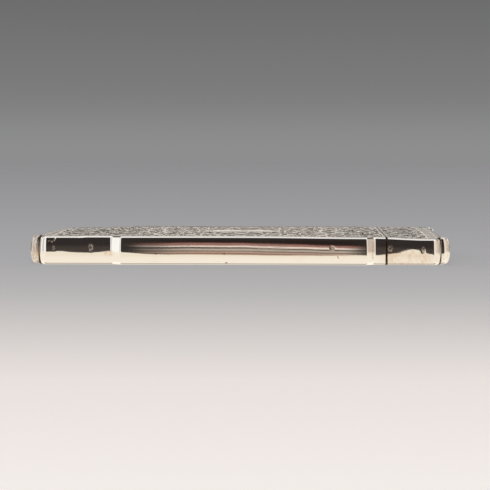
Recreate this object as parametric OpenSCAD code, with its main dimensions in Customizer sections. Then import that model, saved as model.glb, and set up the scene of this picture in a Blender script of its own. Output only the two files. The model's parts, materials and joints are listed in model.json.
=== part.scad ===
// Silver visiting-card case with a shaped outline, a convex polished edge and a hinged end lid.
// It lies flat: X runs along its length towards the lid, Y towards the hinge side, Z up.
// The origin is the middle of its footprint, on the surface that it rests on.

/* [Case] */
// Overall length, over the corner lobes
case_l = 100; // [90:1:110]
// Overall width, over the shoulders
case_w = 72; // [66:1:80]
// Thickness
case_t = 6.8; // [6.4:0.2:8]
// Thickness of the engraved sheets
sheet_t = 0.45; // [0.4:0.05:0.6]
// Distance from the lid end to the split between body and lid
lid_l = 15.3; // [14.5:0.1:17]
// Gap between the closed lid and the body
split_gap = 0.12; // [0.08:0.02:0.2]

/* [Edge] */
// Radius of the convex edge, seen in section
edge_r = 14; // [12:0.5:20]
// Radius of the soft arris between the edge and a broad face
arris_r = 0.9; // [0.7:0.05:1]
// Width of the edge strips, from the outermost line to the engraved sheets
band_w = 1.4; // [1.3:0.05:1.5]
// Metal left behind the middle of the convex edge
band_t = 0.6; // [0.5:0.05:0.8]

/* [Outline] */
// Depth of the recessed stretch next to each corner
recess = 1.9; // [1.2:0.1:2.2]
// Distance from mid length to the shoulder on the lid side
shoulder_x = 30.2; // [28:0.1:30.5]
// Length along X of the slanted step beside it
step_l = 1.7; // [1.6:0.05:2.2]
// Distance from mid length to the shoulder on the side of the closed end
closed_shoulder_x = 28.2; // [27:0.1:30.5]
// Length along X of the slanted step beside that one
closed_step_l = 2.25; // [1.6:0.05:3]
// How far the middle stretch draws in at mid length
waist = 0.6; // [0.2:0.1:1]
// How far the recessed stretch flares out again towards the corner
flare = 0.2; // [0:0.05:0.4]
// Radius of the rounded corners
corner_r = 1.8; // [1.6:0.1:2.2]
// How far the corner lobes stand beyond the rounded corners
lobe_out = 2.45; // [1.95:0.05:2.5]
// Distance from the side of a lobe to the recessed stretch in front of it
lobe_back = 2.9; // [2.6:0.1:3.4]
// Radius of the lobes
lobe_r = 1.6; // [1.55:0.05:1.65]
// How far the lobes stand beyond the short end between them
end_in = 1.2; // [1.1:0.1:1.4]
// How far the short end bows outwards at its middle
end_bow = 0.3; // [0.1:0.1:0.5]

/* [Mouth] */
// Depth of the liner inside the body
liner_in = 5; // [3:0.5:8]
// Length of the tongue that enters the lid
tongue_l = 4; // [3:0.5:5]
// Wall of the liner above and below the cards
liner_t = 0.4; // [0.35:0.05:0.5]
// Clearance between the tongue and the lid's broad sheets
tongue_gap = 0.12; // [0.1:0.02:0.2]
// Clearance between the tongue and the lid's edge strips
tongue_side_gap = 0.3; // [0.28:0.02:0.4]
// Rounding of the liner's long corners
liner_r = 0.8; // [0.6:0.1:1.2]

/* [Hinge] */
// Outer radius of the knuckles
knuckle_r = 1.05; // [0.95:0.05:1.1]
// Radius of the hinge pin
pin_r = 0.45; // [0.4:0.05:0.5]
// Running clearance of the lid's knuckle round the pin
pin_clearance = 0.03; // [0.02:0.01:0.06]
// Distance from each broad face to the end of the barrel
barrel_inset = 0.5; // [0.4:0.1:0.8]
// Length of the lid's knuckle
lid_knuckle_l = 2.1; // [1.8:0.1:2.4]
// Clearance between neighbouring knuckles, along the pin
knuckle_gap = 0.06; // [0.04:0.02:0.1]
// Clearance of the strips round the other body's knuckles
notch_gap = 0.12; // [0.1:0.02:0.2]

/* [Hidden] */

$fn = 48;
silver = "#d8d4cc";
engraved = "#b3afa8";
satin = "#c9c3b6";

half_l = case_l / 2;
half_w = case_w / 2;
mid_z = case_t / 2;
split_x = half_l - lid_l;
body_x = split_x - split_gap / 2;
lid_x = split_x + split_gap / 2;
seg_y = half_w - recess;

// One quarter of the outline, as corners [x, y, rounding radius], from the middle of the long
// side to the middle of the short end. The other quarters are mirror images of it, except that
// the body steps in sooner on the side of the closed end.
waist_p = [0, half_w - 2 * waist, 600];
shoulder_p = [shoulder_x, half_w, 0.6];
valley_p = [shoulder_x + step_l, seg_y, 0.5];
closed_shoulder_p = [closed_shoulder_x, half_w, 0.6];
closed_valley_p = [closed_shoulder_x + closed_step_l, seg_y, 0.5];
flare_p = [split_x + 5.3, seg_y, 200];
corner_x = half_l - lobe_out;
corner_p = [corner_x, seg_y + flare, corner_r];
lobe_y = seg_y - lobe_back;
cusp_r = 0.3;
seam_p = [corner_x, lobe_y + cusp_r + 0.1, 0];
cusp_p = [corner_x, lobe_y, cusp_r];
lobe_front_p = [half_l, lobe_y, lobe_r];
lobe_rear_p = [half_l, lobe_y - 2.6, lobe_r];
nook_p = [half_l - end_in, lobe_y - 3.6, 0.6];
end_mid_p = [half_l - end_in + end_bow, 0, 2500];

// Largest turn between two neighbouring points of a rounded corner, and the fewest steps in one
arc_step = 16;
arc_steps_min = 3;

function place(p, sx, sy) = [sx * p[0], sy * p[1], p[2]];
function reversed(list) = [for (i = [len(list) - 1 : -1 : 0]) list[i]];

// Both bodies are followed clockwise, seen from above, so outwards is always to the left.
body_front_path = concat(
    [[body_x, -seg_y, 0]],
    [place(valley_p, 1, -1), place(shoulder_p, 1, -1), place(waist_p, 1, -1)],
    [place(closed_shoulder_p, -1, -1), place(closed_valley_p, -1, -1), place(flare_p, -1, -1)],
    [place(corner_p, -1, -1), place(seam_p, -1, -1)]
);
body_back_path = [for (p = reversed(body_front_path)) place(p, 1, -1)];
end_run = [seam_p, cusp_p, lobe_front_p, lobe_rear_p, nook_p];
body_end_path = concat(
    [for (p = end_run) place(p, -1, -1)],
    [place(end_mid_p, -1, 1)],
    [for (p = reversed(end_run)) place(p, -1, 1)]
);
lid_back_path = [
    [lid_x, seg_y, 0], place(flare_p, 1, 1), place(corner_p, 1, 1), place(seam_p, 1, 1)
];
lid_front_path = [for (p = reversed(lid_back_path)) place(p, 1, -1)];
lid_end_path = [for (p = reversed(body_end_path)) place(p, -1, 1)];

function heading(a, b) = atan2(b[1] - a[1], b[0] - a[0]);
function turn(a, b) = (b - a + 540) % 360 - 180;

// Tightest rounding left on the inner line of a strip where its outer line turns more tightly.
inner_r_min = 0.2;

// Points round the corner p, between its neighbours before and after, on the line that lies inset
// to the right of the path.
function corner_points(before, p, after, inset) =
    let (
        h0 = heading(before, p),
        bend = turn(h0, heading(p, after)),
        side = bend > 0 ? 1 : -1,
        r = bend < 0 && inset > 0 ? max(p[2], inset + inner_r_min) : p[2],
        reach = r * tan(abs(bend) / 2),
        cx = p[0] - reach * cos(h0) - side * r * sin(h0),
        cy = p[1] - reach * sin(h0) + side * r * cos(h0),
        line_r = r + side * inset,
        steps = max(arc_steps_min, ceil(abs(bend) / arc_step))
    )
    [for (i = [0 : steps])
        let (h = h0 + bend * i / steps)
        [cx + side * line_r * sin(h), cy - side * line_r * cos(h)]];

function end_point(p, h, inset) = [p[0] + inset * sin(h), p[1] - inset * cos(h)];

// Points along the line that lies inset to the right of a whole path. Every inset gives the same
// number of points, so that two such lines can be joined point by point.
function line_points(path, inset) =
    let (last = len(path) - 1)
    concat(
        [end_point(path[0], heading(path[0], path[1]), inset)],
        [for (i = [1 : last - 1]) each corner_points(path[i - 1], path[i], path[i + 1], inset)],
        [end_point(path[last], heading(path[last - 1], path[last]), inset)]
    );

// The edge strip in section, as [outwards, height]: the arris, the convex edge, the other arris,
// then the seats of the two sheets and the hollow back.
arris_a = asin((mid_z - arris_r) / (edge_r - arris_r));
arris_n = (edge_r - arris_r) * cos(arris_a) - edge_r;
arris_steps = 3;
edge_steps = 6;
hollow_z = 1.1;
lower_arris = [for (i = [0 : arris_steps - 1])
    let (a = 90 - (90 - arris_a) * i / arris_steps)
    [arris_n + arris_r * cos(a), arris_r - arris_r * sin(a)]];
convex_edge = [for (i = [0 : edge_steps])
    let (a = arris_a * (2 * i / edge_steps - 1))
    [edge_r * cos(a) - edge_r, mid_z + edge_r * sin(a)]];
upper_arris = [for (p = reversed(lower_arris)) [p[0], case_t - p[1]]];
hollow_back = [
    [-band_w, case_t],
    [-band_w, case_t - sheet_t],
    [-(band_w + 2 * band_t) / 3, case_t - sheet_t - hollow_z],
    [-band_t, mid_z],
    [-(band_w + 2 * band_t) / 3, sheet_t + hollow_z],
    [-band_w, sheet_t],
    [-band_w, 0]
];
band_profile = concat(lower_arris, convex_edge, upper_arris, hollow_back);

// Each end of a strip is closed by a ladder of convex faces between its outer and hollow lines.
outer_count = len(band_profile) - len(hollow_back);
rungs = len(hollow_back) - 1;
rung = (outer_count - 1) / rungs;
end_faces = [for (j = [0 : rungs - 1]) concat(
    [for (i = [0 : rung]) j * rung + i],
    [len(band_profile) - 2 - j, len(band_profile) - 1 - j]
)];

// An edge strip: the profile carried along a path.
module strip(path) {
    outer = line_points(path, 0);
    inner = line_points(path, band_w);
    k = len(band_profile);
    last = len(outer) - 1;
    points = [for (i = [0 : last]) each [for (p = band_profile)
        let (at = outer[i] + (inner[i] - outer[i]) * -p[0] / band_w)
        [at[0], at[1], p[1]]]];
    sides = [for (i = [0 : last - 1]) each [for (j = [0 : k - 1])
        let (a = i * k + j, b = i * k + (j + 1) % k)
        each [[a, a + k, b], [b, a + k, b + k]]]];
    start = [for (face = end_faces) face];
    finish = [for (face = end_faces) [for (j = reversed(face)) last * k + j]];
    polyhedron(points = points, faces = concat(sides, start, finish), convexity = 6);
}

// The inner line of a strip, without the points that it shares with its neighbours.
function inner_line(path, drop = 0) =
    let (line = line_points(path, band_w))
    [for (i = [drop : len(line) - 1 - drop]) line[i]];
body_outline = concat(
    inner_line(body_front_path), inner_line(body_end_path, 1), inner_line(body_back_path)
);
lid_outline = concat(
    inner_line(lid_back_path), inner_line(lid_end_path, 1), inner_line(lid_front_path)
);

module sheet(outline, z) {
    translate([0, 0, z]) linear_extrude(sheet_t) polygon(outline);
}

// The hinge axis stands in the plane of the split, on the outermost line of the back strips.
axis_x = split_x;
axis_y = seg_y;
barrel_top = case_t - barrel_inset;
lid_knuckle_z = mid_z - lid_knuckle_l / 2;
body_knuckle_l = lid_knuckle_z - knuckle_gap - barrel_inset;
upper_knuckle_z = barrel_top - body_knuckle_l;

module axis_cylinder(r, z, l) {
    translate([axis_x, axis_y, z]) cylinder(r = r, h = l);
}

module knuckle(z, l, bore_r) {
    difference() {
        axis_cylinder(knuckle_r, z, l);
        axis_cylinder(bore_r, z - 1, l + 2);
    }
}

// Room in a strip for the knuckles: a close seat for its own, and a clear notch for the others.
module knuckle_seats(own, others) {
    for (k = own) axis_cylinder(knuckle_r, k[0], k[1]);
    for (k = others) axis_cylinder(knuckle_r + notch_gap, k[0], k[1]);
}
seat_split_z = [lid_knuckle_z - knuckle_gap / 2, lid_knuckle_z + lid_knuckle_l + knuckle_gap / 2];
lower_room = [-1, seat_split_z[0] + 1];
middle_room = [seat_split_z[0], seat_split_z[1] - seat_split_z[0]];
upper_room = [seat_split_z[1], case_t];

module liner_section(half_y, low_z) {
    high_z = case_t - low_z;
    square_y = half_y - liner_r;
    translate([-high_z, 0]) union() {
        translate([0, -square_y]) square([high_z - low_z, 2 * square_y]);
        translate([liner_r, -half_y]) square([high_z - low_z - 2 * liner_r, 2 * half_y]);
        for (x = [liner_r, high_z - low_z - liner_r], y = [-square_y, square_y])
            translate([x, y]) circle(liner_r);
    }
}

// A length of the liner along X, from x0 to x1.
module liner_length(x0, x1, half_y, low_z) {
    translate([x0, 0, 0]) rotate([0, 90, 0]) linear_extrude(x1 - x0) liner_section(half_y, low_z);
}

inner_y = seg_y - band_w;
tongue_y = inner_y - tongue_side_gap;
card_y = tongue_y - 0.35;
card_z = sheet_t + liner_t;
sleeve_x = split_x - liner_in;
tongue_x = split_x + tongue_l;

module body_top_panel() { color(engraved) sheet(body_outline, case_t - sheet_t); }

module body_bottom_panel() { color(engraved) sheet(body_outline, 0); }

module body_front_band() { color(silver) strip(body_front_path); }

module body_back_band() {
    color(silver) difference() {
        strip(body_back_path);
        knuckle_seats([lower_room, upper_room], [middle_room]);
    }
}

module body_end_band() { color(silver) strip(body_end_path); }

// The sleeve fills the height between the body's sheets; its tongue is relieved to clear the lid.
module mouth_liner() {
    color(satin) difference() {
        union() {
            liner_length(sleeve_x, body_x, inner_y - 0.05, sheet_t);
            liner_length(body_x - 0.5, tongue_x, tongue_y, sheet_t + tongue_gap);
        }
        liner_length(sleeve_x - 1, tongue_x + 1, card_y, card_z);
    }
}

module body_knuckle_lower() { color(silver) knuckle(barrel_inset, body_knuckle_l, pin_r); }

module body_knuckle_upper() { color(silver) knuckle(upper_knuckle_z, body_knuckle_l, pin_r); }

module hinge_pin() { color(silver) axis_cylinder(pin_r, barrel_inset, barrel_top - barrel_inset); }

module lid_top_panel() { color(engraved) sheet(lid_outline, case_t - sheet_t); }

module lid_bottom_panel() { color(engraved) sheet(lid_outline, 0); }

module lid_front_band() { color(silver) strip(lid_front_path); }

module lid_back_band() {
    color(silver) difference() {
        strip(lid_back_path);
        knuckle_seats([middle_room], [lower_room, upper_room]);
    }
}

module lid_end_band() { color(silver) strip(lid_end_path); }

module lid_knuckle() { color(silver) knuckle(lid_knuckle_z, lid_knuckle_l, pin_r + pin_clearance); }

body_top_panel();
body_bottom_panel();
body_front_band();
body_back_band();
body_end_band();
mouth_liner();
body_knuckle_lower();
body_knuckle_upper();
hinge_pin();
lid_top_panel();
lid_bottom_panel();
lid_front_band();
lid_back_band();
lid_end_band();
lid_knuckle();
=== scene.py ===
"""Looks of the silver card case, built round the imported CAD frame.

Lengths are in millimetres up to the point where a mesh is made, and in metres in Blender.
"""

import json
import math

import bpy
import numpy as np
from mathutils import Matrix, Vector


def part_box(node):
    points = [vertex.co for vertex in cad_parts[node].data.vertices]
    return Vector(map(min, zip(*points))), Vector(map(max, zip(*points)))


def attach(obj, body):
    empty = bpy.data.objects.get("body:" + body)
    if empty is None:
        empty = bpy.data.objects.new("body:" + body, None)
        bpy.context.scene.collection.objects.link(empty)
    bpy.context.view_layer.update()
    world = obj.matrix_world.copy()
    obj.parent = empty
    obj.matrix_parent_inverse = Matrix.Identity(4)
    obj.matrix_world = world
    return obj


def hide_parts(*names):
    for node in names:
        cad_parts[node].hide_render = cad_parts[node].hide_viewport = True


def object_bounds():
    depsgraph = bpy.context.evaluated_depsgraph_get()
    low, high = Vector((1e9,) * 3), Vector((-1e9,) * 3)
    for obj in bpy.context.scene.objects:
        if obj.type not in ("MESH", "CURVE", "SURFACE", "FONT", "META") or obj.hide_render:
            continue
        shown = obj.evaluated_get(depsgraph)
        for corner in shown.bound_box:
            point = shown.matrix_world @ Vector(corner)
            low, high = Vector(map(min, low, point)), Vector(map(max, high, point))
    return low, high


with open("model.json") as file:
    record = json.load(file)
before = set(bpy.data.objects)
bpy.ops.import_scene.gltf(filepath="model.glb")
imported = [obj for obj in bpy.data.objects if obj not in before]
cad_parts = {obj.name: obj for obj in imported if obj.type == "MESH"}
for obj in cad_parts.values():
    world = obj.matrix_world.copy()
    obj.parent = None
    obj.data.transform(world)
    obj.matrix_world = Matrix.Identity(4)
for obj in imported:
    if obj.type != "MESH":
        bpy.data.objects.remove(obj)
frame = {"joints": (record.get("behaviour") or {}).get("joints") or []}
CAD_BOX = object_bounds()

MM = 0.001

# ---- Sizes of the case, from the frame where it holds them ----
HALF_L = CAD_BOX[1].x / MM
CASE_T = CAD_BOX[1].z / MM
MID_Z = CASE_T / 2
AXIS_X, AXIS_Y = (v / MM for v in frame["joints"][0]["pos_m"][:2])
SEG_Y = AXIS_Y
BODY_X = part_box("body_top_panel")[1].x / MM
LID_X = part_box("lid_top_panel")[0].x / MM
SHEET_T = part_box("body_bottom_panel")[1].z / MM

EDGE_R = 14.0
ARRIS_R = 0.9
BAND_W = 1.4
BAND_T = 0.6

RECESS = 1.9
SHOULDER_X, STEP_L = 30.2, 1.7
CLOSED_SHOULDER_X, CLOSED_STEP_L = 28.2, 2.25
WAIST = 0.6
FLARE = 0.2
CORNER_R = 1.8
CORNER_X = HALF_L - 2.45
LOBE_Y = SEG_Y - 2.9
LOBE_R = 1.6
END_X = HALF_L - 1.2
END_BOW = 0.3
CUSP_R = 0.3
HALF_W = SEG_Y + RECESS
FACE_END_X = END_X - BAND_W
FACE_CORNER_X = CORNER_X - BAND_W

# One quarter of the outline, as corners (x, y, rounding radius), as in the CAD model.
WAIST_P = (0.0, HALF_W - 2 * WAIST, 600.0)
SHOULDER_P = (SHOULDER_X, HALF_W, 0.6)
VALLEY_P = (SHOULDER_X + STEP_L, SEG_Y, 0.5)
CLOSED_SHOULDER_P = (CLOSED_SHOULDER_X, HALF_W, 0.6)
CLOSED_VALLEY_P = (CLOSED_SHOULDER_X + CLOSED_STEP_L, SEG_Y, 0.5)
FLARE_P = (AXIS_X + 5.3, SEG_Y, 200.0)
CORNER_P = (CORNER_X, SEG_Y + FLARE, CORNER_R)
SEAM_P = (CORNER_X, LOBE_Y + CUSP_R + 0.1, 0.0)
CUSP_P = (CORNER_X, LOBE_Y, CUSP_R)
LOBE_FRONT_P = (HALF_L, LOBE_Y, LOBE_R)
LOBE_REAR_P = (HALF_L, LOBE_Y - 2.6, LOBE_R)
NOOK_P = (END_X, LOBE_Y - 3.6, 0.6)
END_MID_P = (END_X + END_BOW, 0.0, 2500.0)

INNER_R_MIN = 0.2
ARC_STEP = math.radians(6)
LINE_STEP = 0.2


def placed(points, sx, sy):
    return [(sx * x, sy * y, r) for x, y, r in points]


# Both bodies are followed clockwise, seen from above, so outwards is always to the left.
BODY_FRONT = (
    [(BODY_X, -SEG_Y, 0.0)]
    + placed([VALLEY_P, SHOULDER_P, WAIST_P], 1, -1)
    + placed([CLOSED_SHOULDER_P, CLOSED_VALLEY_P, FLARE_P, CORNER_P, SEAM_P], -1, -1)
)
BODY_BACK = placed(BODY_FRONT[::-1], 1, -1)
END_RUN = [SEAM_P, CUSP_P, LOBE_FRONT_P, LOBE_REAR_P, NOOK_P]
BODY_END = placed(END_RUN, -1, -1) + placed([END_MID_P], -1, 1) + placed(END_RUN[::-1], -1, 1)
LID_BACK = [(LID_X, SEG_Y, 0.0), FLARE_P, CORNER_P, SEAM_P]
LID_FRONT = placed(LID_BACK[::-1], 1, -1)
LID_END = placed(BODY_END[::-1], -1, 1)


def smooth(t):
    """0 below 0, 1 above 1, and an even S between."""
    t = np.clip(t, 0.0, 1.0)
    return t * t * (3 - 2 * t)


def bump(x, centre, width):
    """A rounded hump of height 1."""
    return np.exp(-(((x - centre) / width) ** 2))


# ---- Outline ----
def corner_points(before, p, after, inset):
    """Points round the corner p on the line that lies inset to the right of the path."""
    h0 = math.atan2(p[1] - before[1], p[0] - before[0])
    h1 = math.atan2(after[1] - p[1], after[0] - p[0])
    bend = (h1 - h0 + 3 * math.pi) % (2 * math.pi) - math.pi
    side = 1 if bend > 0 else -1
    r = max(p[2], inset + INNER_R_MIN) if bend < 0 and inset > 0 else p[2]
    reach = r * math.tan(abs(bend) / 2)
    cx = p[0] - reach * math.cos(h0) - side * r * math.sin(h0)
    cy = p[1] - reach * math.sin(h0) + side * r * math.cos(h0)
    line_r = r + side * inset
    steps = max(4, math.ceil(abs(bend) / ARC_STEP), math.ceil(p[2] * abs(bend) / LINE_STEP))
    turns = h0 + bend * np.linspace(0, 1, steps + 1)
    return np.stack([cx + side * line_r * np.sin(turns), cy - side * line_r * np.cos(turns)], 1)


def line_points(path, inset):
    """Points of a whole path. Every inset gives the same number of points."""
    def end_point(p, a, b):
        h = math.atan2(b[1] - a[1], b[0] - a[0])
        return np.array([[p[0] + inset * math.sin(h), p[1] - inset * math.cos(h)]])

    corners = [corner_points(*path[i - 1:i + 2], inset) for i in range(1, len(path) - 1)]
    first = end_point(path[0], path[0], path[1])
    last = end_point(path[-1], path[-2], path[-1])
    return np.concatenate([first, *corners, last])


def face_half_width(x):
    """Half width of an engraved face at x."""
    return np.interp(x, FACE_SIDE[:, 0], FACE_SIDE[:, 1])


def face_half_length(y):
    """Half length of an engraved face at y: straight between the lobes, shorter at the corners."""
    y = np.abs(y)
    ends = FACE_END_X + END_BOW * (1 - (y / NOOK_P[1]) ** 2).clip(0)
    corner = smooth((y - LOBE_Y + 0.9) / 0.8)
    return ends + (FACE_CORNER_X - ends) * corner


FACE_SIDE = np.concatenate([line_points(LID_FRONT, BAND_W), line_points(BODY_FRONT, BAND_W)]) * [1, -1]
FACE_SIDE = FACE_SIDE[np.argsort(FACE_SIDE[:, 0], kind="stable")]


def strip_lines(path):
    """The outer and inner lines of an edge strip, evenly stepped, with the same number of points."""
    outer, inner = line_points(path, 0.0), line_points(path, BAND_W)
    limit = face_half_length(inner[:, 1])
    inner[:, 0] = np.clip(inner[:, 0], -limit, limit)
    rows_out, rows_in = [outer[:1]], [inner[:1]]
    for i in range(len(outer) - 1):
        span = np.linalg.norm(outer[i + 1] - outer[i])
        n = max(1, math.ceil(span / LINE_STEP))
        share = (np.arange(1, n + 1) / n)[:, None]
        rows_out.append(outer[i] + (outer[i + 1] - outer[i]) * share)
        rows_in.append(inner[i] + (inner[i + 1] - inner[i]) * share)
    return np.concatenate(rows_out), np.concatenate(rows_in)


# ---- The hand of the maker: small unevenness shared by every piece ----
LID_SAG, LID_TIP_SAG, LOBE_LIFT = 0.20, 0.42, 0.30
CLOSED_SAG, FAR_CORNER_SAG, CLOSED_RIM_SAG = 0.10, 0.40, 0.45


def droop(x, y):
    """How far the upper face lies below the true height."""
    near = 0.5 - 0.5 * y / HALF_W
    lobes = smooth((np.abs(x) - CORNER_X + 0.8) / 0.8)
    lid_tip = (LID_TIP_SAG - LOBE_LIFT * lobes) * smooth((x - 32) / 12)
    lid_end = (LID_SAG * smooth((x - 4) / 24) + lid_tip) * near
    closed_end = CLOSED_SAG * smooth((-x - 36) / 3) * (1 - lobes) * near
    far_corner = FAR_CORNER_SAG * smooth((-x - 24) / 22) * smooth((y - 10) / 20)
    closed_rim = CLOSED_RIM_SAG * smooth((-x - 45.0) / 3.5) * smooth((y + 24) / 50)
    return lid_end + closed_end + far_corner + closed_rim


def warped(points):
    """Presses the upper side of the case down by droop, and leaves its lower side flat."""
    points = np.array(points, float)
    points[..., 2] *= 1 - droop(points[..., 0], points[..., 1]) / CASE_T
    return points


def ripple(x, y, z):
    """Slow outward waves in the polished edge."""
    t = (z - MID_Z) / MID_Z
    along = x + 0.7 * y
    wave = 0.004 * np.sin(along * 0.21 + 0.6) + 0.0012 * np.sin(along * 0.9 + 2.0 + 1.1 * t)
    twist = 0.010 * np.sin(along * 0.17 + 1.0) + 0.004 * np.sin(along * 0.47)
    return wave * (1 - 0.4 * t ** 2) + twist * t - 0.03


# Wear on the near edge, as ovals (x, height, half width, half height).
PUNCHES = (
    (-44.0, 3.9, 0.34, 0.60), (-35.3, 4.0, 0.60, 0.90), (21.8, 4.1, 0.46, 0.46),
    (35.6, 4.0, 0.66, 0.82), (43.3, 3.9, 0.42, 0.90),
)
NICKS = (
    (-45.1, 5.6, 0.32, 0.16), (-44.5, 5.4, 0.30, 0.16), (-44.0, 5.75, 0.22, 0.20),
    (-43.8, 6.2, 0.16, 0.32),
)
SPOTS = (
    (-19.7, 2.6, 0.30, 0.20), (-3.7, 2.6, 0.26, 0.24), (-3.1, 0.5, 0.40, 0.16), (23.1, 2.1, 0.20, 0.24),
    (23.25, 1.75, 0.20, 0.24),
)
STAINS = (
    (-30.9, 2.7, 1.3, 0.7), (35.9, 2.3, 1.3, 1.1), (38.0, 2.2, 1.8, 0.9), (40.0, 1.6, 6.0, 2.6),
    (-48.2, 3.8, 0.9, 2.2),
)
DULL_SPOTS = ((-1.02 * CORNER_X, 4.2, 0.9, 2.4),)
PUNCH_DEPTH = 0.025
NICK_SHARE = 1.7


def ovals(points, places, fade):
    """1 inside the given ovals of the near edge, down to 0 across a share of their size."""
    x, y, z = points[..., 0], points[..., 1], points[..., 2]
    inside = np.zeros(x.shape)
    for at_x, at_z, half_x, half_z in places:
        reach = np.hypot((x - at_x) / half_x, (z - at_z) / half_z)
        inside = np.maximum(inside, smooth((1 - reach) / fade + 0.5))
    return inside * (y < 4.0 - SEG_Y)


# ---- Meshes ----
def make_object(name, vertices, faces, sharp_deg=32, **attributes):
    """A smooth-shaded object from millimetre vertices, with named values per vertex."""
    mesh = bpy.data.meshes.new(name)
    mesh.from_pydata((np.asarray(vertices) * MM).tolist(), [], faces)
    mesh.update()
    for key, values in attributes.items():
        layer = mesh.attributes.new(key, "FLOAT", "POINT")
        layer.data.foreach_set("value", np.ascontiguousarray(values, np.float32).ravel())
    mesh.shade_smooth()
    mesh.set_sharp_from_angle(angle=math.radians(sharp_deg))
    obj = bpy.data.objects.new(name, mesh)
    bpy.context.scene.collection.objects.link(obj)
    return obj


def tube_faces(rows, k, closed=False):
    """Quads between rows of k points that each close on themselves, and a cap at each open end."""
    last = rows if closed else rows - 1
    i, j = np.meshgrid(np.arange(last), np.arange(k), indexing="ij")
    a, b = i * k + j, i * k + (j + 1) % k
    wrap = rows * k
    quads = np.stack([a, b, (b + k) % wrap, (a + k) % wrap], -1).reshape(-1, 4).tolist()
    if closed:
        return quads
    return quads + [list(range(k - 1, -1, -1)), list(range((rows - 1) * k, rows * k))]


def dress(obj, node, material):
    """Puts a finished piece in its body, in place of its CAD node, with its material."""
    obj.data.materials.clear()
    obj.data.materials.append(material)
    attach(obj, "lid" if node.startswith("lid") else "body")
    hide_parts(node)
    return obj


def edge_profile():
    """The edge strip in section, as rows (outwards, height), from the lower arris round to it."""
    arris_a = math.asin((MID_Z - ARRIS_R) / (EDGE_R - ARRIS_R))
    arris_n = (EDGE_R - ARRIS_R) * math.cos(arris_a) - EDGE_R
    a = np.linspace(math.pi / 2, arris_a, 13)[:-1]
    lower = np.stack([arris_n + ARRIS_R * np.cos(a), ARRIS_R - ARRIS_R * np.sin(a)], 1)
    a = np.linspace(-arris_a, arris_a, 31)
    convex = np.stack([EDGE_R * np.cos(a) - EDGE_R, MID_Z + EDGE_R * np.sin(a)], 1)
    upper = lower[::-1] * [1, -1] + [0, CASE_T]
    seat, hollow = CASE_T - SHEET_T, (BAND_W + 2 * BAND_T) / 3
    back = [(-BAND_W, CASE_T), (-BAND_W, seat), (-hollow, seat - 1.1), (-BAND_T - 0.05, MID_Z + 0.9),
            (-BAND_T - 0.05, MID_Z - 0.9), (-hollow, SHEET_T + 1.1), (-BAND_W, SHEET_T), (-BAND_W, 0)]
    return np.concatenate([lower, convex, upper, np.array(back)])


PROFILE = edge_profile()
# Widths and strengths of the dark grime at the split, the seams and the lobes. At the seams and on the
# lobes it is partly painted shade and a painted reflection of the dark front.
SPLIT_GRIME_W, RIGHT_SEAM_GRIME_AND_SHADE_W, LEFT_SEAM_GRIME_AND_SHADE_W = 0.20, 0.55, 0.74
RIGHT_LOBE_GRIME_AND_SHADE, LEFT_LOBE_GRIME_AND_SHADE = 0.22, 0.40
END_ROUND = ((0.0, 0.13), (0.035, 0.05), (0.13, 0.0))


def rounded_end(outer, inner, at_start):
    """Draws the last rows of a strip back a little from a cut end, so that its rim is soft."""
    if not at_start:
        out, inn = rounded_end(outer[::-1], inner[::-1], True)
        return out[::-1], inn[::-1]
    step = (outer[1] - outer[0]) / np.linalg.norm(outer[1] - outer[0])
    out = [outer[0] + step * d for d, _ in END_ROUND]
    inn = [inner[0] + step * d for d, _ in END_ROUND]
    return np.concatenate([out, outer[1:]]), np.concatenate([inn, inner[1:]])


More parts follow.
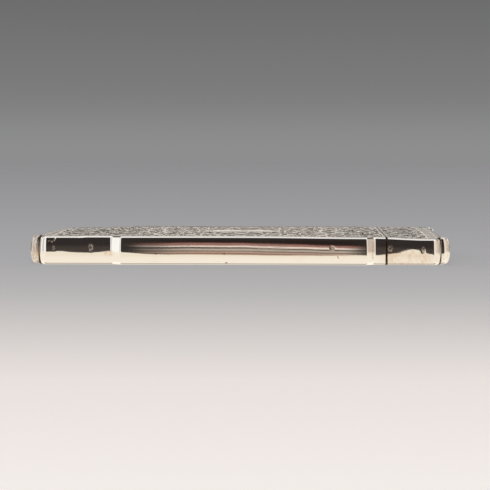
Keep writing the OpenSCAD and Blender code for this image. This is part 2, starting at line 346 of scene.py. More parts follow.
def make_strip(name, path, cut_ends=()):
    """An edge strip along a path. cut_ends says which of its ends, 0 or 1, meet the split."""
    outer, inner = strip_lines(path)
    shrink = np.zeros(len(outer))
    for end in cut_ends:
        outer, inner = rounded_end(outer, inner, end == 0)
        drawn = np.array([s for _, s in END_ROUND])
        pad = np.zeros(len(outer) - len(shrink))
        shrink = np.concatenate([pad, shrink] if end == 0 else [shrink, pad])
        if end == 0:
            shrink[:len(drawn)] = drawn
        else:
            shrink[-len(drawn):] = drawn[::-1]
    share = -PROFILE[:, 0] / BAND_W
    xy = outer[:, None] + (inner - outer)[:, None] * share[None, :, None]
    z = np.broadcast_to(PROFILE[:, 1], xy.shape[:2])
    out_dir = (outer - inner) / np.linalg.norm(outer - inner, axis=1)[:, None]
    fade = smooth((PROFILE[:, 0] + BAND_W) / 0.5)
    true = np.concatenate([xy, z[..., None]], -1)
    boss = ovals(true, [(x, h, 0.5 * a, 0.5 * b) for x, h, a, b in PUNCHES], 0.8)
    punch = np.maximum(ovals(true, PUNCHES, 0.6) - 0.4 * boss, NICK_SHARE * ovals(true, NICKS, 0.8))
    spot, stain = 0.6 * ovals(true, SPOTS, 0.8), ovals(true, STAINS, 0.8)
    push = (ripple(xy[..., 0], xy[..., 1], z) - shrink[:, None]) * fade - PUNCH_DEPTH * punch
    xy = xy + out_dir[:, None] * push[..., None]
    z = z + shrink[:, None] * fade * np.sign(MID_Z - z) * smooth((abs(z - MID_Z) - 2.6) / 0.8)
    points = warped(np.concatenate([xy, z[..., None]], -1))

    # Grime gathers where the strips meet each other, at the split, and along the engraved sheets. At the
    # seams beside the lobes and on the lobes, this darkening is partly grime and partly painted shade and
    # a painted reflection of the dark front.
    run = np.concatenate([[0], np.cumsum(np.linalg.norm(np.diff(outer, axis=0), axis=1))])
    grime = np.zeros(len(outer))
    seam_w = RIGHT_SEAM_GRIME_AND_SHADE_W if outer[0, 0] > 0 else LEFT_SEAM_GRIME_AND_SHADE_W
    for end, away in ((0, run), (1, run[-1] - run)):
        width = SPLIT_GRIME_W if end in cut_ends else seam_w
        grime = np.maximum(grime, 1.5 * np.exp(-((away / width) ** 2)))
    if not cut_ends:
        lobe = np.maximum(smooth((7.0 - run) / 2), smooth((7.0 - run[-1] + run) / 2))
        grime = np.maximum(grime, np.where(outer[:, 0] < 0, LEFT_LOBE_GRIME_AND_SHADE, RIGHT_LOBE_GRIME_AND_SHADE) * lobe)
    rim = 0.55 * smooth((-PROFILE[:, 0] - 1.1) / 0.25)
    grime = np.maximum(np.maximum(grime[:, None], rim[None]), spot)
    dull = 0.8 * ovals(true, DULL_SPOTS, 0.8)
    return make_object(name, points.reshape(-1, 3), tube_faces(len(outer), len(PROFILE)),
                       grime=grime, punch=punch, stain=stain, dull=dull)


# ---- Engraving: one quarter is drawn on a fine raster and mirrored to all four ----
CELL = 0.1
BORDER_W = 3.0
BEAD_PERIOD = 1.8
RELIEF = 0.15
GROOVE = 0.13
SWELL = 0.27
DEEPEST = 0.39
CARTOUCHE = (8.2, 6.0)
# Fine lines along the rim: distance from it, width, strength.
RIM_LINES = ((0.30, 0.09, 1.0), (2.45, 0.09, 1.0), (BORDER_W, 0.10, 0.8))


class Drawing:
    """A raster of the quarter x >= 0, y >= 0, holding 1 where a stroke has been drawn."""

    def __init__(self):
        self.cells = np.zeros((int(HALF_L / CELL) + 3, int(HALF_W / CELL) + 3))

    def dot(self, x, y, r):
        reach = r + 0.12
        i0, i1 = max(0, int((x - reach) / CELL)), int((x + reach) / CELL) + 2
        j0, j1 = max(0, int((y - reach) / CELL)), int((y + reach) / CELL) + 2
        part = self.cells[i0:i1, j0:j1]
        if part.size == 0:
            return
        dx = (np.arange(i0, i0 + part.shape[0]) * CELL - x)[:, None]
        dy = (np.arange(j0, j0 + part.shape[1]) * CELL - y)[None]
        ink = np.clip((r - np.hypot(dx, dy)) / 0.16 + 0.5, 0, 1)
        np.maximum(part, ink, out=part)

    def stroke(self, points, widths):
        for (x, y), w in zip(points, widths):
            self.dot(x, y, w)

    def softened(self, width):
        """A copy blurred over a width, as if the quarters were already mirrored."""
        reach = int(3 * width / CELL)
        weights = bump(np.arange(-reach, reach + 1) * CELL, 0, width)
        weights /= weights.sum()
        copy = Drawing()
        copy.cells = np.pad(self.cells, reach, mode="reflect")
        for axis in (0, 1):
            copy.cells = np.apply_along_axis(np.convolve, axis, copy.cells, weights, "valid")
        return copy

    def sample(self, x, y):
        """The drawing at any points, mirrored from its quarter."""
        fx, fy = np.abs(x) / CELL, np.abs(y) / CELL
        i = np.clip(fx.astype(int), 0, self.cells.shape[0] - 2)
        j = np.clip(fy.astype(int), 0, self.cells.shape[1] - 2)
        tx, ty = np.clip(fx - i, 0, 1), np.clip(fy - j, 0, 1)
        c = self.cells
        low = c[i, j] * (1 - tx) + c[i + 1, j] * tx
        high = c[i, j + 1] * (1 - tx) + c[i + 1, j + 1] * tx
        return low * (1 - ty) + high * ty


def leaf(raised, veins, x, y, heading, length, curl):
    """A lobed leaf: three tapering fingers from one root, each with a vein."""
    for spread, share in ((-0.62, 0.62), (0.0, 1.0), (0.62, 0.62)):
        n = max(4, int(length * share / 0.12))
        t = np.linspace(0, 1, n)
        h = heading + spread + curl * t ** 1.5
        step = length * share / n
        px = x + np.cumsum(np.cos(h)) * step
        py = y + np.cumsum(np.sin(h)) * step
        width = length * share * 0.19 * np.sin(math.pi * (0.16 + 0.84 * t) ** 0.8) + 0.07
        raised.stroke(zip(px, py), width)
        half = n * 3 // 4
        veins.stroke(zip(px[:half], py[:half]), np.full(half, 0.03))


def scroll(raised, veins, cx, cy, r, start_deg, hand, turns=1.55):
    """A spiral stem that winds inwards to a bud, with leaves along both of its sides."""
    n = int(turns * 2 * math.pi * r * 0.6 / 0.1)
    t = np.linspace(0, 1, n)
    radius = r * (1 - 0.80 * t ** 0.85)
    angle = math.radians(start_deg) + hand * turns * 2 * math.pi * t
    px, py = cx + radius * np.cos(angle), cy + radius * np.sin(angle)
    raised.stroke(zip(px, py), 0.36 - 0.16 * t)
    raised.dot(px[-1], py[-1], 0.55)
    veins.dot(px[-1], py[-1], 0.16)
    ahead = angle + hand * math.pi / 2
    for k, i in enumerate(range(n // 12, int(n * 0.86), max(1, n // 13))):
        size = 0.34 * radius[i] + 0.55
        leaf(raised, veins, px[i], py[i], ahead[i] - hand * 0.85, size, -hand * 0.9)
        if k % 2:
            leaf(raised, veins, px[i], py[i], ahead[i] + hand * 0.8, size * 0.72, hand * 0.9)


def draw_foliage():
    """Scrolls in three rows, out from the middle towards the corners, and small leaves between."""
    raised, veins = Drawing(), Drawing()
    rows = (
        (6.6, 5.6, ((15.6, 200, 1), (27.8, 150, -1), (39.4, 205, 1))),
        (18.6, 5.7, ((4.6, -60, 1), (17.0, 190, -1), (29.4, 170, 1), (40.2, 190, -1))),
        (27.9, 3.3, ((8.6, 200, 1), (16.4, 160, -1), (24.2, 200, 1), (32.0, 160, -1), (39.4, 200, 1))),
    )
    for y, r, row in rows:
        for x, start_deg, hand in row:
            scroll(raised, veins, x, y, min(r, 44.6 - x), start_deg, hand)
    for x in np.arange(2.4, 45, 3.1):
        leaf(raised, veins, x, 12.4 + 0.5 * math.sin(x), 0.3 * math.sin(2 * x), 2.6, 0.8)
        leaf(raised, veins, x + 0.6, 24.3, 0.4 * math.sin(3 * x + 1), 2.0, -0.8)
    crowded = raised.softened(0.7)
    for x in np.arange(0.9, 45.5, 2.0):
        for y in np.arange(0.9, 31.0, 1.9):
            root_x = x + 0.8 * math.sin(2.3 * x + 3.7 * y)
            root_y = y + 0.7 * math.sin(3.1 * x - 1.9 * y)
            if crowded.sample(np.array(root_x), np.array(root_y)) >= 0.15:
                continue
            heading = 2.2 * math.sin(0.9 * x + 0.4) + 1.6 * math.cos(1.3 * y)
            size = 1.9 + 0.6 * math.sin(5 * x + y)
            root_x -= 0.5 * size * math.cos(heading)
            root_y -= 0.5 * size * math.sin(heading)
            leaf(raised, veins, root_x, root_y, heading, size, 1.1 * math.sin(x + 2 * y))
    return raised, veins


RAISED, VEINS = draw_foliage()
MASSES = RAISED.softened(0.75)


def engraving(x, y, outer_x, outer_y):
    """Depth below the true face, darkness with age, hatched ground, and the plain oval."""
    to_side, to_end = outer_y - np.abs(y), outer_x - np.abs(x)
    d = np.minimum(to_side, to_end)
    along = np.where(to_side < to_end, x, y)

    # Border: fine lines, scallops filled with a fan of strokes, and a row of beads.
    lines = sum(strength * bump(d, at, width) for at, width, strength in RIM_LINES)
    cell = (along / BEAD_PERIOD) % 1 - 0.5
    fan_r = np.hypot(cell * BEAD_PERIOD, d - 0.55)
    fan = bump(fan_r, 0.86, 0.10) + 0.7 * bump(fan_r, 0.45, 0.10)
    rays = 0.5 + 0.5 * np.cos(9 * np.arctan2(cell * BEAD_PERIOD, d - 0.5))
    fan += (fan_r > 0.5) * (fan_r < 0.82) * 0.45 * rays
    bead = 1 - smooth((0.40 - np.hypot(cell * BEAD_PERIOD, d - 1.92)) / 0.22)
    band = (d > 0.5) * (d < 1.5)
    beads = (d > 1.5) * (d < 2.38) * bead * 0.9
    border = np.clip(lines + fan * band + beads, 0, 1)

    # Field: foliage left standing on a lowered ground, round a plain cartouche.
    oval = np.hypot(x / CARTOUCHE[0], y / CARTOUCHE[1])
    inside = smooth((d - BORDER_W) / 0.25)
    ground = (1 - RAISED.sample(x, y)) * inside * smooth((oval - 1.22) / 0.04)
    petals = bump(oval, 1.09, 0.045) * (0.5 + 0.5 * np.cos(36 * np.arctan2(y * 1.37, x)))
    rings = bump(oval, 1.0, 0.018) + bump(oval, 1.19, 0.018) + 0.8 * petals
    veins = VEINS.sample(x, y) * inside * (oval > 1.22)
    masses = smooth(1.35 * MASSES.sample(x, y) - 0.12)
    swell = (1 - masses) * smooth((d - 1.8) / 1.6) * smooth((oval - 1.15) / 0.25)
    swell = np.maximum(swell, 0.5 * smooth((0.98 - oval) / 0.1))
    depth = GROOVE * border + RELIEF * ground + 0.09 * np.clip(rings, 0, 1) + 0.06 * veins
    depth = depth + SWELL * swell
    dark = np.clip(border + ground + np.clip(rings, 0, 1) + 0.7 * veins, 0, 1)
    plain = smooth((0.99 - oval) / 0.03)
    return np.minimum(depth, DEEPEST), dark, ground, plain


# ---- Pieces ----
def coarse_cells(nx, ny, count=14):
    """Coarse cells over an nx by ny grid, as rings of (i, j) that keep every point of the rim."""
    rows = np.linspace(0, nx - 1, count).astype(int)
    columns = np.linspace(0, ny - 1, count).astype(int)
    for i0, i1 in zip(rows[:-1], rows[1:]):
        for j0, j1 in zip(columns[:-1], columns[1:]):
            across_0 = range(j0, j1) if i0 == 0 else [j0]
            across_1 = range(j1, j0, -1) if i1 == nx - 1 else [j1]
            along_0 = range(i1, i0, -1) if j0 == 0 else [i1]
            along_1 = range(i0, i1) if j1 == ny - 1 else [i0]
            yield ([(i0, j) for j in across_0] + [(i, j1) for i in along_1]
                   + [(i1, j) for j in across_1] + [(i, j0) for i in along_0])


def make_panel(name, x_from, x_to, upper, pitch):
    """An engraved sheet between x_from and x_to; None stands for the short end on that side."""
    ny = int(2 * HALF_W / pitch)
    v = np.linspace(-1, 1, ny)
    v = v * (1 - 0.004 * (1 - v ** 2))
    y_end = v * FACE_SIDE[-1, 1]
    lo = -face_half_length(y_end) if x_from is None else np.full(ny, x_from)
    hi = face_half_length(y_end) if x_to is None else np.full(ny, x_to)
    nx = int(round((hi - lo).mean() / pitch))
    u = np.linspace(0, 1, nx)
    x = lo[None] + (hi - lo)[None] * u[:, None]
    y = v[None] * face_half_width(x)
    depth, dark, ground, plain = engraving(x, y, face_half_length(y), face_half_width(x))
    cut = np.minimum(np.abs(x - BODY_X), np.abs(x - LID_X))
    inner = smooth((cut - 0.35) / 0.35)
    depth, dark, ground = depth * inner, dark * inner, ground * inner
    bevel = 0.05 * np.clip(1 - cut / 0.25, 0, 1)
    top = np.stack([x, y, CASE_T - depth - bevel], -1)
    grime = np.exp(-((cut / 0.28) ** 2))
    edge = np.minimum(face_half_width(x) - np.abs(y), face_half_length(y) - np.abs(x))
    grime = np.maximum(grime, 0.6 * np.exp(-((edge / 0.2) ** 2)))

    i, j = np.meshgrid(np.arange(nx - 1), np.arange(ny - 1), indexing="ij")
    a = i * ny + j
    faces = np.stack([a, a + ny, a + ny + 1, a + 1], -1).reshape(-1, 4).tolist()
    ids = np.arange(nx * ny).reshape(nx, ny)
    rim = np.concatenate([ids[:, 0], ids[-1, 1:], ids[-2::-1, -1], ids[0, -2:0:-1]])
    low = nx * ny + np.arange(len(rim))
    nxt = np.roll(np.arange(len(rim)), -1)
    walls = np.stack([rim[nxt], rim, low, low[nxt]], -1).tolist()
    below = dict(zip(rim.tolist(), low.tolist()))
    for cell in coarse_cells(nx, ny):
        walls.append([below.setdefault(int(ids[i, j]), nx * ny + len(below)) for i, j in cell])
    under = top.reshape(-1, 3)[list(below)]
    under[:, 2] = CASE_T - SHEET_T
    points = np.concatenate([top.reshape(-1, 3), under])
    faces = faces + walls
    if not upper:
        points[:, 2] = CASE_T - points[:, 2]
        faces = [f[::-1] for f in faces]
    ends = smooth((np.abs(x) - 20) / 16)
    fields = {"cut": dark, "ground": ground, "grime": grime, "plain": plain, "ends": ends}
    rest = np.zeros(len(below))
    values = {key: np.concatenate([field.ravel(), rest]) for key, field in fields.items()}
    return make_object(name, warped(points), faces, 40, **values)


def rounded_loop(half_y, z0, z1, r, n=6):
    """A rounded rectangle in the Y-Z plane, as rows (y, z)."""
    a = np.linspace(0, math.pi / 2, n)
    sides = []
    for turn, cy, cz in ((0, half_y - r, z1 - r), (1, r - half_y, z1 - r),
                         (2, r - half_y, z0 + r), (3, half_y - r, z0 + r)):
        angle = a + turn * math.pi / 2
        sides.append(np.stack([cy + r * np.cos(angle), cz + r * np.sin(angle)], 1))
    loop = np.concatenate(sides)
    ahead = np.roll(loop, -1, axis=0)
    return np.concatenate([p + (q - p) * np.linspace(0, 1, 9)[:-1, None]
                           for p, q in zip(loop, ahead)])


def make_liner():
    """The sleeve in the mouth and its tongue, lofted through rounded sections."""
    low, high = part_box("mouth_liner")
    x0, x1 = low.x / MM, high.x / MM
    sleeve_y, tongue_y, card_y = high.y / MM, high.y / MM - 0.25, high.y / MM - 0.60
    card_z, tongue_z, b = SHEET_T + 0.40, SHEET_T + 0.12, 0.10
    sections = (
        (x0, sleeve_y - b, SHEET_T + b), (x0 + b, sleeve_y, SHEET_T), (BODY_X - b, sleeve_y, SHEET_T),
        (BODY_X, sleeve_y - b, SHEET_T + b), (BODY_X, tongue_y, tongue_z),
        (x1 - 1.2, tongue_y, tongue_z), (x1 - 0.35, tongue_y - 0.03, tongue_z + 0.02),
        (x1 - 0.08, tongue_y - 0.12, tongue_z + 0.09), (x1, card_y + 0.12, card_z - 0.08),
        (x1 - 0.10, card_y + 0.01, card_z - 0.01), (x1 - 0.6, card_y, card_z), (x0, card_y, card_z),
    )
    rings = []
    for x, half_y, z in sections:
        loop = rounded_loop(half_y, z, CASE_T - z, 0.8)
        rings.append(np.column_stack([np.full(len(loop), x), loop]))
    points = warped(np.concatenate(rings))
    inner = np.abs(points[:, 0] - BODY_X)
    grime = 0.8 * np.exp(-((inner / 0.5) ** 2))
    return make_object("mouth_liner_piece", points, tube_faces(len(rings), len(rings[0]), True),
                       grime=grime)


def make_lathe(name, profile, steps=48, closed=True):
    """A turned piece on the hinge axis, from a profile of (radius, height) rows."""
    profile = np.array(profile)
    a = np.linspace(0, 2 * math.pi, steps, endpoint=False)
    rings = [np.column_stack([AXIS_X + r * np.cos(a), AXIS_Y + r * np.sin(a), np.full(steps, z)])
             for r, z in profile]
    points = np.concatenate(rings)
    reach = np.minimum(points[:, 2] - profile[:, 1].min(), profile[:, 1].max() - points[:, 2])
    grime = np.exp(-((reach / 0.16) ** 2))
    return make_object(name, points, tube_faces(len(rings), steps, closed), grime=grime)


def make_knuckle(node):
    """A hinge tube with softened rims and a fine turned line near each end."""
    low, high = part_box(node)
    z0, z1 = low.z / MM, high.z / MM
    r, bore, b = (high.x - low.x) / MM / 2, 0.48 if node.startswith("lid") else 0.45, 0.09
    outside = [(r - b, z0), (r - 0.03, z0 + 0.03), (r, z0 + b), (r, z0 + 0.28), (r - 0.035, z0 + 0.33),
               (r, z0 + 0.38), (r, z1 - 0.38), (r - 0.035, z1 - 0.33), (r, z1 - 0.28), (r, z1 - b),
               (r - 0.03, z1 - 0.03), (r - b, z1)]
    return make_lathe(node + "_piece", outside + [(bore + 0.04, z1), (bore, z1 - 0.04),
                                                  (bore, z0 + 0.04), (bore + 0.04, z0)])


def make_pin():
    """The pin, with its two ends lightly domed."""
    low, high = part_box("hinge_pin")
    z0, z1, r = low.z / MM, high.z / MM, (high.x - low.x) / MM / 2
    dome = [(0.08, 0.0), (0.6 * r, 0.02), (0.85 * r, 0.06), (r, 0.14)]
    profile = [(d, z0 + h) for d, h in dome] + [(d, z1 - h) for d, h in dome[::-1]]
    return make_lathe("hinge_pin_piece", profile, closed=False)


def cut_notches(obj, notches):
    """Cuts round notches for the knuckles out of a back strip."""
    for radius, z0, z1 in notches:
        steps = 64
        a = np.linspace(0, 2 * math.pi, steps, endpoint=False)
        ring = np.stack([AXIS_X + radius * np.cos(a), AXIS_Y + radius * np.sin(a)], 1)
        points = np.concatenate([np.column_stack([ring, np.full(steps, z)]) for z in (z0, z1)])
        cutter = make_object("cutter", points, tube_faces(2, steps))
        bpy.context.view_layer.update()
        modifier = obj.modifiers.new("notch", "BOOLEAN")
        modifier.object = cutter
        modifier.operation = "DIFFERENCE"
        modifier.solver = "EXACT"
        shape = bpy.data.meshes.new_from_object(obj.evaluated_get(bpy.context.evaluated_depsgraph_get()))
        obj.modifiers.clear()
        obj.data = shape
        bpy.data.objects.remove(cutter)
    obj.data.shade_smooth()
    obj.data.set_sharp_from_angle(angle=math.radians(32))
    return obj


# ---- Shader building ----
def linear(*srgb):
    """Linear light from 0-255 sRGB values."""
    c = np.array(srgb) / 255
    return tuple(np.where(c <= 0.04045, c / 12.92, ((c + 0.055) / 1.055) ** 2.4))


class Nodes:
    """Short calls for building a node tree."""

    def __init__(self, tree):
        self.tree = tree

    def add(self, kind, **values):
        node = self.tree.nodes.new(kind)
        for key, value in values.items():
            setattr(node, key, value)
        return node

    def put(self, value, socket):
        if isinstance(value, bpy.types.NodeSocket):
            self.tree.links.new(value, socket)
        elif isinstance(value, tuple) and len(value) == 3 and socket.type == "RGBA":
            socket.default_value = (*value, 1)
        else:
            socket.default_value = value

    def math(self, operation, *values, clamp=False):
        node = self.add("ShaderNodeMath", operation=operation, use_clamp=clamp)
        for value, socket in zip(values, node.inputs):
            self.put(value, socket)
        return node.outputs[0]

    def times(self, a, b, clamp=False):
        return self.math("MULTIPLY", a, b, clamp=clamp)

    def muladd(self, value, factor, extra):
        """value * factor + extra."""
        return self.math("MULTIPLY_ADD", value, factor, extra)

    def step(self, value, low, high, to_low=0.0, to_high=1.0):
        """to_low at low, to_high at high, smooth between."""
        node = self.add("ShaderNodeMapRange", interpolation_type="SMOOTHSTEP")
        names = ("Value", "From Min", "From Max", "To Min", "To Max")
        for name, part in zip(names, (value, low, high, to_low, to_high)):
            self.put(part, node.inputs[name])
        return node.outputs["Result"]

    def mix(self, factor, a, b, blend="MIX"):
        node = self.add("ShaderNodeMix", data_type="RGBA", blend_type=blend)
        self.put(factor, node.inputs["Factor"])
        self.put(a, node.inputs[6])
        self.put(b, node.inputs[7])
        return node.outputs[2]

    def ramp(self, value, stops):
        """A colour ramp through stops of a position and a 0-255 sRGB colour."""
        node = self.add("ShaderNodeValToRGB")
        self.put(value, node.inputs["Fac"])
        elements = node.color_ramp.elements
        while len(elements) < len(stops):
            elements.new(0.5)
        for element, (position, colour) in zip(elements, stops):
            element.position = position
            element.color = (*linear(*colour), 1)
        return node.outputs["Color"]

    def split(self, vector):
        node = self.add("ShaderNodeSeparateXYZ")
        self.put(vector, node.inputs[0])
        return node.outputs

    def vector(self, x, y):
        node = self.add("ShaderNodeCombineXYZ")
        self.put(x, node.inputs[0])
        self.put(y, node.inputs[1])
        return node.outputs[0]

    def position(self):
        """Object coordinates in millimetres, stretched by nothing."""
        scale = self.add("ShaderNodeVectorMath", operation="SCALE")
        self.put(self.add("ShaderNodeTexCoord").outputs["Object"], scale.inputs[0])
        scale.inputs["Scale"].default_value = 1 / MM
        return scale.outputs[0]

    def noise(self, vector, scale, detail=2.0, rough=0.5, stretch=(1, 1, 1), offset=(0, 0, 0)):
        mapping = self.add("ShaderNodeMapping")
        self.put(vector, mapping.inputs["Vector"])
        mapping.inputs["Scale"].default_value = stretch
        mapping.inputs["Location"].default_value = offset
        node = self.add("ShaderNodeTexNoise")
        self.put(mapping.outputs[0], node.inputs["Vector"])
        node.inputs["Scale"].default_value = scale
        node.inputs["Detail"].default_value = detail
        node.inputs["Roughness"].default_value = rough
        return node.outputs["Fac"]

    def value(self, name):
        """A value stored on the vertices of the piece."""
        return self.add("ShaderNodeAttribute", attribute_name=name).outputs["Fac"]

    def bump(self, height, distance_mm, normal=None):
        node = self.add("ShaderNodeBump")
        self.put(height, node.inputs["Height"])
        node.inputs["Distance"].default_value = distance_mm * MM
        if normal is not None:
            self.put(normal, node.inputs["Normal"])
        return node.outputs["Normal"]


def metal(name):
    """A new metallic material, its node helper and its shader."""
    material = bpy.data.materials.new(name)
    material.use_nodes = True
    bsdf = material.node_tree.nodes["Principled BSDF"]
    bsdf.inputs["Metallic"].default_value = 1.0
    return material, Nodes(material.node_tree), bsdf


# ---- Materials ----
SILVER = (0.955, 0.935, 0.905)
WORN = (0.90, 0.85, 0.79)
STAINED = (0.74, 0.56, 0.42)
TARNISH_AND_SHADE = (0.30, 0.19, 0.11)
DARK = (0.045, 0.032, 0.025)
CHASED, CHASED_WARM, CHASED_END = (0.90, 0.875, 0.835), (0.76, 0.72, 0.66), (0.60, 0.59, 0.57)
CUT_DARK = (0.115, 0.09, 0.07)
INSIDE, INSIDE_WARM = (0.86, 0.82, 0.75), (0.70, 0.62, 0.52)
HATCH_RATE = 15.0


def polished_silver():
    """Bright old silver: fine long scratches, faint warm blotches, dark grime in the joints, which by the
    lobes and their seams is partly painted shade and a painted reflection of the dark front.
    """
    material, n, bsdf = metal("polished_silver")
    at = n.position()
    blotch = n.step(n.noise(at, 0.16, 3.0, 0.62), 0.54, 0.72)
    speck = n.step(n.noise(at, 1.3, 4.0, 0.7, offset=(7, 3, 1)), 0.66, 0.74)
    grain = n.noise(at, 2.2, 3.0, 0.6, stretch=(0.12, 0.12, 1.6))
    colour = n.mix(n.times(blotch, 0.35), SILVER, WORN)
    colour = n.mix(n.times(speck, 0.25), colour, TARNISH_AND_SHADE)
    ragged = n.muladd(n.noise(at, 2.6, 4.0, 0.7), 0.9, -0.45)
    # Grime browns and darkens the joints. By the lobes and their seams, this is partly painted shade and a
    # painted reflection of the dark front.
    grime = n.value("grime")
    film_and_shade = n.step(n.math("ADD", grime, ragged), 0.18, 0.62)
    crust_and_shade = n.step(n.math("ADD", grime, ragged), 0.50, 0.95)
    colour = n.mix(n.times(film_and_shade, 0.75), colour, TARNISH_AND_SHADE)
    stain, punch = n.value("stain"), n.value("punch")
    cloud = n.step(n.noise(at, 0.9, 3.0, 0.6, stretch=(1.0, 1.0, 0.7)), 0.30, 0.70, 0.25, 1.0)
    colour = n.mix(n.times(stain, n.times(cloud, 0.60)), colour, STAINED)
    punch = n.times(punch, n.step(n.noise(at, 3.2, 2.0, 0.5), 0.35, 0.6, 0.35, 1.0))
    colour = n.mix(n.times(punch, 0.7), colour, STAINED)
    n.put(n.mix(crust_and_shade, colour, DARK), bsdf.inputs["Base Color"])
    rough = n.muladd(grain, 0.05, 0.045)
    dull = n.math("MAXIMUM", crust_and_shade, n.times(punch, 0.7))
    dull = n.math("MAXIMUM", dull, n.value("dull"))
    rough = n.math("ADD", rough, n.times(dull, 0.35))
    n.put(n.math("ADD", rough, n.times(blotch, 0.03)), bsdf.inputs["Roughness"])
    slow = n.noise(at, 0.55, 2.0, 0.5, stretch=(0.03, 0.03, 1.0), offset=(2, 5, 8))
    normal = n.bump(slow, 0.006)
    normal = n.bump(grain, 0.0009, normal=normal)
    n.put(normal, bsdf.inputs["Normal"])
    return material


def engraved_silver():
    """Engraved silver: worn bright on the high parts, dark in the cuts, with a hatched ground."""
    material, n, bsdf = metal("engraved_silver")
    at = n.position()
    x, y, _ = n.split(at)
    cut, ground, grime = n.value("cut"), n.value("ground"), n.value("grime")
    hatch = n.math("SINE", n.times(n.math("ADD", x, y), HATCH_RATE))
    cross = n.math("SINE", n.times(n.math("SUBTRACT", x, y), HATCH_RATE))
    weave = n.math("MAXIMUM", hatch, cross)
    patina = n.noise(at, 0.22, 4.0, 0.65)
    fine = n.noise(at, 2.4, 4.0, 0.7)
    age = n.times(cut, n.step(n.muladd(fine, 0.5, patina), 0.45, 1.05, 0.55, 1.0))
    age = n.times(age, n.muladd(weave, -0.12, 0.86))
    colour = n.mix(n.times(patina, 0.5), CHASED, CHASED_WARM)
    colour = n.mix(n.times(n.value("ends"), 0.7), colour, CHASED_END)
    colour = n.mix(age, colour, CUT_DARK)
    colour = n.mix(n.step(n.muladd(fine, 0.5, grime), 0.55, 1.15), colour, DARK)
    n.put(colour, bsdf.inputs["Base Color"])
    rough = n.muladd(cut, 0.14, 0.09)
    n.put(n.muladd(fine, 0.12, rough), bsdf.inputs["Roughness"])
    normal = n.bump(n.times(weave, ground), 0.030)
    strokes = n.noise(at, 1.6, 3.0, 0.6, stretch=(1.0, 0.35, 1.0))
    strokes = n.times(strokes, n.muladd(n.value("plain"), -0.8, 1.0))
    normal = n.bump(strokes, 0.09, normal=normal)
    normal = n.bump(fine, 0.02, normal=normal)
    n.put(normal, bsdf.inputs["Normal"])
    return material


def inner_silver():
    """Plain satin silver inside the mouth, rubbed by the cards and by the lid."""
    material, n, bsdf = metal("inner_silver")
    at = n.position()
    rub = n.noise(at, 1.1, 4.0, 0.6, stretch=(0.15, 2.2, 2.2))
    cloud = n.noise(at, 0.25, 3.0, 0.6)
    grime = n.value("grime")
    colour = n.mix(cloud, INSIDE, INSIDE_WARM)
    film_and_shade = n.step(n.muladd(rub, 0.6, grime), 0.55, 1.3)
    n.put(n.mix(film_and_shade, colour, TARNISH_AND_SHADE), bsdf.inputs["Base Color"])
    n.put(n.muladd(rub, 0.22, 0.20), bsdf.inputs["Roughness"])
    n.put(n.bump(rub, 0.008), bsdf.inputs["Normal"])
    return material


# ---- Assembly ----
POLISHED, ENGRAVED, INNER = polished_silver(), engraved_silver(), inner_silver()

for node, path, cuts in (
    ("body_front_band", BODY_FRONT, (0,)), ("body_end_band", BODY_END, ()),
    ("lid_front_band", LID_FRONT, (1,)), ("lid_end_band", LID_END, ()),
):
    dress(make_strip(node + "_piece", path, cuts), node, POLISHED)

LID_KNUCKLE_Z = [corner.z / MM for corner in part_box("lid_knuckle")]
KNUCKLE_R = (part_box("lid_knuckle")[1].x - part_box("lid_knuckle")[0].x) / MM / 2
OWN_R, CLEAR_R = KNUCKLE_R - 0.01, KNUCKLE_R + 0.12
LOW_Z, HIGH_Z = LID_KNUCKLE_Z[0] - 0.03, LID_KNUCKLE_Z[1] + 0.03
for node, path, cuts, end_r, middle_r in (
    ("body_back_band", BODY_BACK, (1,), OWN_R, CLEAR_R), ("lid_back_band", LID_BACK, (0,), CLEAR_R, OWN_R),
):
    strip = make_strip(node + "_piece", path, cuts)
    cut_notches(strip, ((end_r, -1, LOW_Z), (middle_r, LOW_Z, HIGH_Z), (end_r, HIGH_Z, CASE_T + 1)))
    dress(strip, node, POLISHED)

for node, x_from, x_to, upper, pitch in (
    ("body_top_panel", None, BODY_X, True, 0.26), ("body_bottom_panel", None, BODY_X, False, 0.34),
    ("lid_top_panel", LID_X, None, True, 0.26), ("lid_bottom_panel", LID_X, None, False, 0.34),
):
    panel = make_panel(node + "_piece", x_from, x_to, upper, pitch)
    dress(panel, node, ENGRAVED)

dress(make_liner(), "mouth_liner", INNER)
for node in ("body_knuckle_lower", "body_knuckle_upper", "lid_knuckle"):
    dress(make_knuckle(node), node, POLISHED)
dress(make_pin(), "hinge_pin", POLISHED)

# ---- Camera ----
CAMERA_AT = Vector((11.4, -612.0, 28.53)) * MM
LENS = 179.9
PITCH_DOWN, YAW_LEFT, ROLL = math.radians(2.363), math.radians(1.006), math.radians(0.08)


def make_camera():
    camera = bpy.data.objects.new("camera", bpy.data.cameras.new("camera"))
    bpy.context.scene.collection.objects.link(camera)
    camera.data.lens = LENS
    camera.data.clip_start = 0.01
    camera.data.clip_end = 20
    turn = Matrix.Rotation(YAW_LEFT, 4, "Z") @ Matrix.Rotation(math.pi / 2 - PITCH_DOWN, 4, "X")
    camera.matrix_world = Matrix.Translation(CAMERA_AT) @ turn @ Matrix.Rotation(ROLL, 4, "Z")
    bpy.context.scene.camera = camera


# ---- Studio ----
WALL_BACK, WALL_LEFT, WALL_LEFT_DIM = (165, 163, 161), (255, 255, 250), (210, 201, 202)
# The walls by bearing in degrees: 0 is on the camera's side, and the right is positive.
WALLS = (
    (-180, WALL_BACK), (-125, (188, 182, 179)), (-92, WALL_LEFT), (-79, WALL_LEFT),
    (-73, WALL_LEFT_DIM), (-46, WALL_LEFT_DIM), (-34, WALL_LEFT), (-14, WALL_LEFT),
    (14, (246, 232, 219)), (70, (214, 196, 178)), (125, (180, 173, 166)), (180, WALL_BACK),
)
